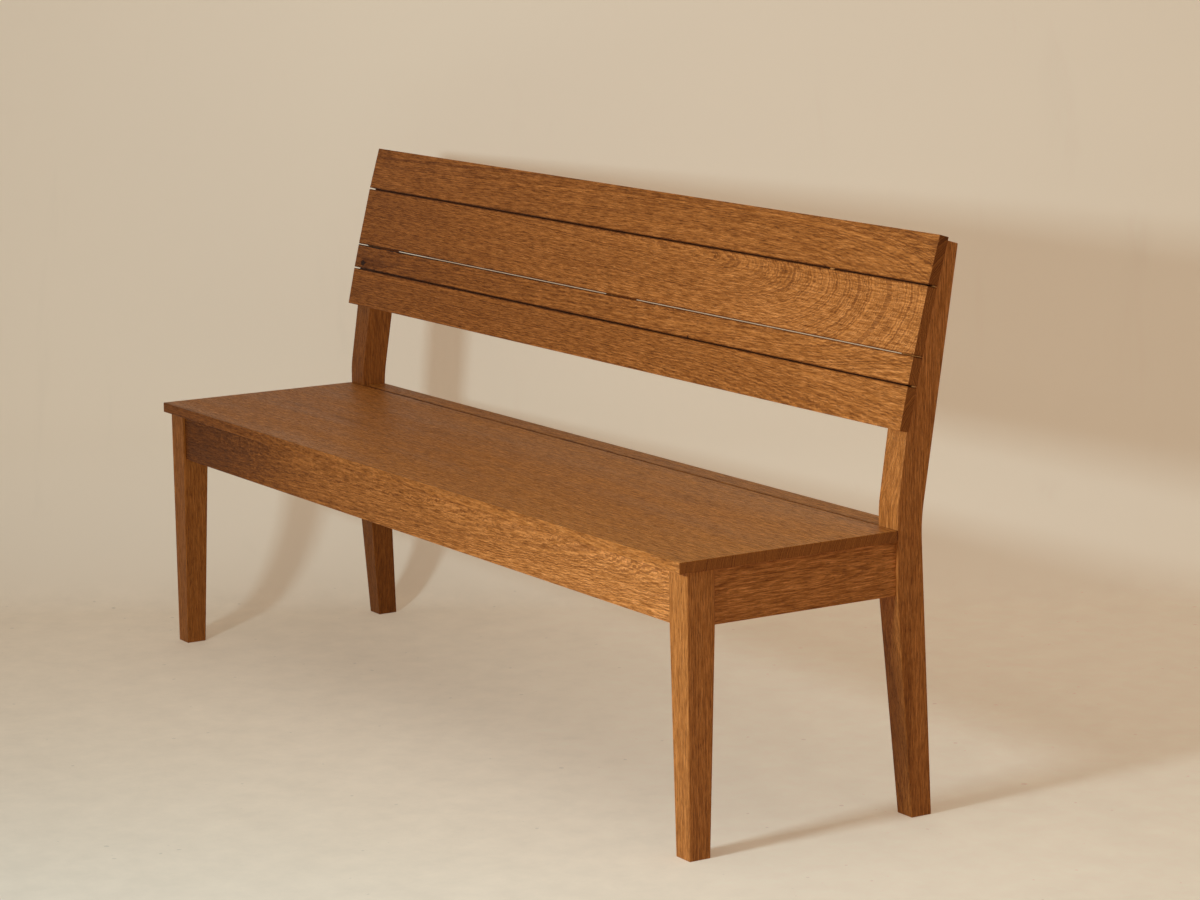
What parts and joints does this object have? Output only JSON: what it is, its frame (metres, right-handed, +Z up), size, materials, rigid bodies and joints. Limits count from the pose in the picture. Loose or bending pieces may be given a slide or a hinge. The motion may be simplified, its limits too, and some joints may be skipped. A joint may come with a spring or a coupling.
{
  "type": "slatted bench",
  "caption": "Long oak bench with a flat board seat on tapered legs, and a raked back of close horizontal slats carried by bent rear posts.",
  "frame": {"origin": "on the floor under the middle of the bench's overall length and depth", "axes": "+X along the bench to the right as seen from the front, -Y to the front, +Z up"},
  "size_m": [1.8, 0.5218, 0.9213],
  "materials": {
    "oak_slats": "oiled oak, satin, grain along the slat",
    "oak_seat": "oiled oak, satin, grain along the bench",
    "oak_frame": "oiled oak, satin, grain along each leg and rail",
    "inner_oak": "plain oak, unfinished inner pieces",
    "screw_steel": "plated wood screws"
  },
  "bodies": {
    "root": {"back_slat_1": "oak_slats", "back_slat_2": "oak_slats", "back_slat_3": "oak_slats", "back_slat_4": "oak_slats", "seat_board": "oak_seat", "seat_rear_strip": "oak_seat", "front_leg_left": "oak_frame", "front_leg_right": "oak_frame", "rear_post_left": "oak_frame", "rear_post_right": "oak_frame", "front_rail": "oak_frame", "rear_rail": "oak_frame", "side_rail_left": "oak_frame", "side_rail_right": "oak_frame", "centre_upright": "oak_frame", "upper_slat_tongue": "inner_oak", "lower_slat_tongue": "inner_oak", "seat_bearer_left": "inner_oak", "seat_bearer_middle": "inner_oak", "seat_bearer_right": "inner_oak", "corner_block_front_left": "inner_oak", "corner_block_front_right": "inner_oak", "corner_block_rear_left": "inner_oak", "corner_block_rear_right": "inner_oak", "seat_buttons": "inner_oak", "slat_dowels": "inner_oak", "strip_dowels": "inner_oak", "corner_block_screws": "screw_steel", "seat_button_screws": "screw_steel", "bearer_screws": "screw_steel"}
  },
  "joints": []
}
